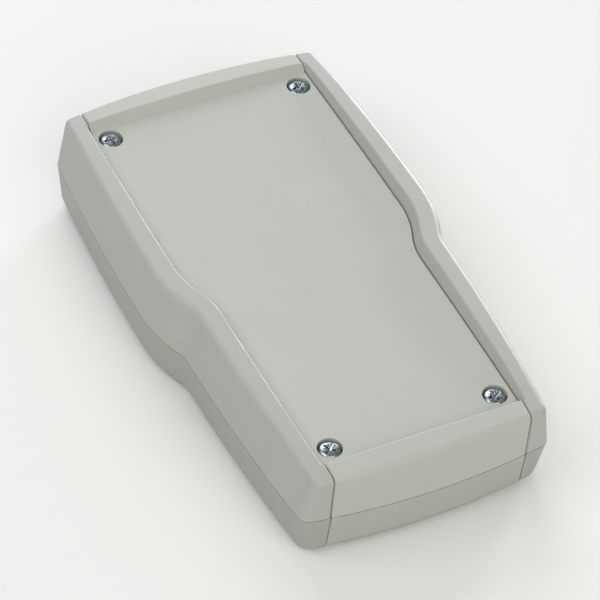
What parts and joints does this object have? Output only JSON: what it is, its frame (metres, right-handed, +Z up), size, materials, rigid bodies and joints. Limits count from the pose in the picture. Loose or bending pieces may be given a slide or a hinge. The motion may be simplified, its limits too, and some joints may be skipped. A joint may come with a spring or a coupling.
{
  "type": "handheld enclosure",
  "caption": "Flat waisted handheld enclosure with a sunk face, separate clip-on side grips, board standoffs and cross-recess pan screws set in counterbores.",
  "frame": {"origin": "middle of the underside, the case lying on its back", "axes": "+X across the case, +Y towards the wide end, +Z up out of the sunk face"},
  "size_m": [0.0824, 0.1434, 0.0293],
  "materials": {
    "case_plastic": "fine moulded texture, light warm grey",
    "grip_plastic": "fine moulded texture, light cool grey",
    "screw_steel": "bright zinc plated steel"
  },
  "bodies": {
    "root": {"upper_shell": "case_plastic", "lower_shell": "case_plastic", "right_upper_grip": "grip_plastic", "left_upper_grip": "grip_plastic", "right_lower_grip": "grip_plastic", "left_lower_grip": "grip_plastic", "case_screws": "screw_steel"}
  },
  "joints": []
}
